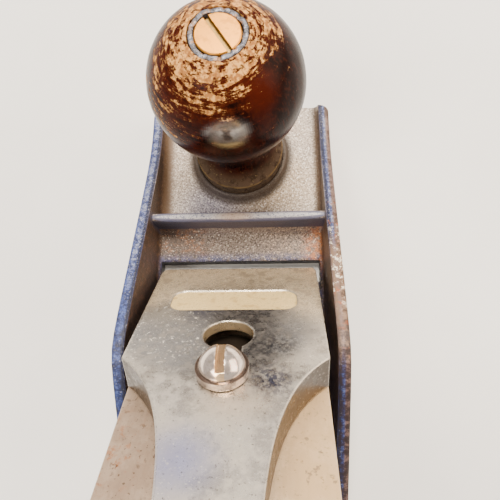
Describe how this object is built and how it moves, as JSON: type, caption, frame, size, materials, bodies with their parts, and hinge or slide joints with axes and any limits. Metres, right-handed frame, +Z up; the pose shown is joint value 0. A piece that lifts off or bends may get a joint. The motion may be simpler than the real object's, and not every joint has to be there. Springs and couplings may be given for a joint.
{
  "type": "bench plane",
  "caption": "Metal smoothing plane with a round front knob, shaped rear handle, sloping iron under a lever cap, and screw depth and side adjustment.",
  "frame": {"origin": "centre of the flat sole, on its underside", "axes": "+Z up from the sole, +Y towards the toe, +X to the right side seen from the heel"},
  "size_m": [0.0636, 0.2465, 0.1273],
  "materials": {
    "japanned_iron": "worn blue stoving enamel over cast iron, grimy and rust-stained",
    "frog_enamel": "blue stoving enamel over cast iron, bed face ground bare",
    "cap_iron_casting": "worn nickel over ground cast iron, with dull brown patina",
    "blade_steel": "tan-brown tarnished tool steel with fine pits",
    "bright_steel": "worn bright nickel plate",
    "plain_steel": "dull machined steel",
    "spring_steel": "blued spring steel",
    "brass": "tarnished turned brass",
    "varnished_beech": "dark red-brown stained varnish worn through to pale beech"
  },
  "bodies": {
    "body_casting": {"body": "japanned_iron", "frog_screws": "plain_steel", "frog_washers": "plain_steel", "knob": "varnished_beech", "knob_rod": "plain_steel", "knob_nut": "brass", "knob_washer": "plain_steel", "tote": "varnished_beech", "tote_rod": "plain_steel", "tote_nut": "brass"},
    "frog": {"frog": "frog_enamel", "frog_clip": "plain_steel", "frog_clip_screw": "plain_steel", "yoke_pin": "plain_steel", "lateral_rivet": "plain_steel"},
    "frog_adjusting_screw": {"frog_adjusting_screw": "plain_steel"},
    "depth_stud": {"depth_stud": "plain_steel"},
    "depth_nut": {"depth_nut": "brass"},
    "yoke": {"yoke": "plain_steel"},
    "lateral_lever": {"lateral_lever": "plain_steel"},
    "lateral_roller": {"lateral_roller": "plain_steel"},
    "lever_cap_screw": {"lever_cap_screw": "bright_steel"},
    "irons": {"cutter": "blade_steel", "cap_iron": "blade_steel", "cap_iron_screw": "plain_steel"},
    "lever_cap": {"lever_cap": "cap_iron_casting", "cam_pin": "plain_steel", "lever_cap_spring": "spring_steel", "spring_rivet": "plain_steel"},
    "cam_lever": {"cam_lever": "cap_iron_casting"}
  },
  "joints": [
    {"name": "frog_slide", "type": "slide", "parent": "body_casting", "child": "frog", "axis": [0, 1, 0], "range_m": [-0.0008, 0.0012]},
    {"name": "frog_screw_turn", "type": "hinge", "parent": "frog", "child": "frog_adjusting_screw", "pos_m": [0, 0.02, 0.008], "axis": [0, 1, 0], "range_deg": [-230, 345]},
    {"name": "depth_stud_travel", "type": "slide", "parent": "frog", "child": "depth_stud", "axis": [0, 1, 0], "range_m": [-0.00132, 0.00476]},
    {"name": "depth_nut_turn", "type": "hinge", "parent": "depth_stud", "child": "depth_nut", "pos_m": [0, -0.02, 0.033], "axis": [0, 1, 0], "range_deg": [-1620, 450]},
    {"name": "yoke_swing", "type": "hinge", "parent": "frog", "child": "yoke", "pos_m": [0, -0.00685, 0.05374], "axis": [1, 0, 0], "range_deg": [-3.8, 13.4]},
    {"name": "lateral_lever_swing", "type": "hinge", "parent": "frog", "child": "lateral_lever", "pos_m": [0, -0.01817, 0.07637], "axis": [0, 0.7071, 0.7071], "range_deg": [-5.2, 5.2]},
    {"name": "roller_spin", "type": "hinge", "parent": "lateral_lever", "child": "lateral_roller", "pos_m": [0, -0.0118, 0.07], "axis": [0, 0.7071, 0.7071], "continuous": true},
    {"name": "irons_tilt", "type": "hinge", "parent": "frog", "child": "lever_cap_screw", "pos_m": [0, 0.0162, 0.042], "axis": [0, 0.7071, 0.7071], "range_deg": [-1.25, 1.25]},
    {"name": "irons_slide", "type": "slide", "parent": "lever_cap_screw", "child": "irons", "axis": [0, -0.7071, 0.7071], "range_m": [-0.00077, 0.00275]},
    {"name": "lever_cap_slide", "type": "slide", "parent": "frog", "child": "lever_cap", "axis": [0, -0.7071, 0.7071], "range_m": [0, 0.0151]},
    {"name": "cam_lever_flip", "type": "hinge", "parent": "lever_cap", "child": "cam_lever", "pos_m": [0, -0.01265, 0.0833], "axis": [-1, 0, 0], "range_deg": [0, 100]}
  ],
  "couplings": [
    {"joint": "frog_screw_turn", "follows": "frog_slide", "rad_per_m": 4947.4},
    {"joint": "depth_nut_turn", "follows": "depth_stud_travel", "rad_per_m": -5936.9},
    {"joint": "yoke_swing", "follows": "depth_stud_travel", "rad_per_m": 48.216},
    {"joint": "irons_slide", "follows": "depth_stud_travel", "ratio": 0.57377},
    {"joint": "irons_tilt", "follows": "lateral_lever_swing", "ratio": -0.22727}
  ]
}
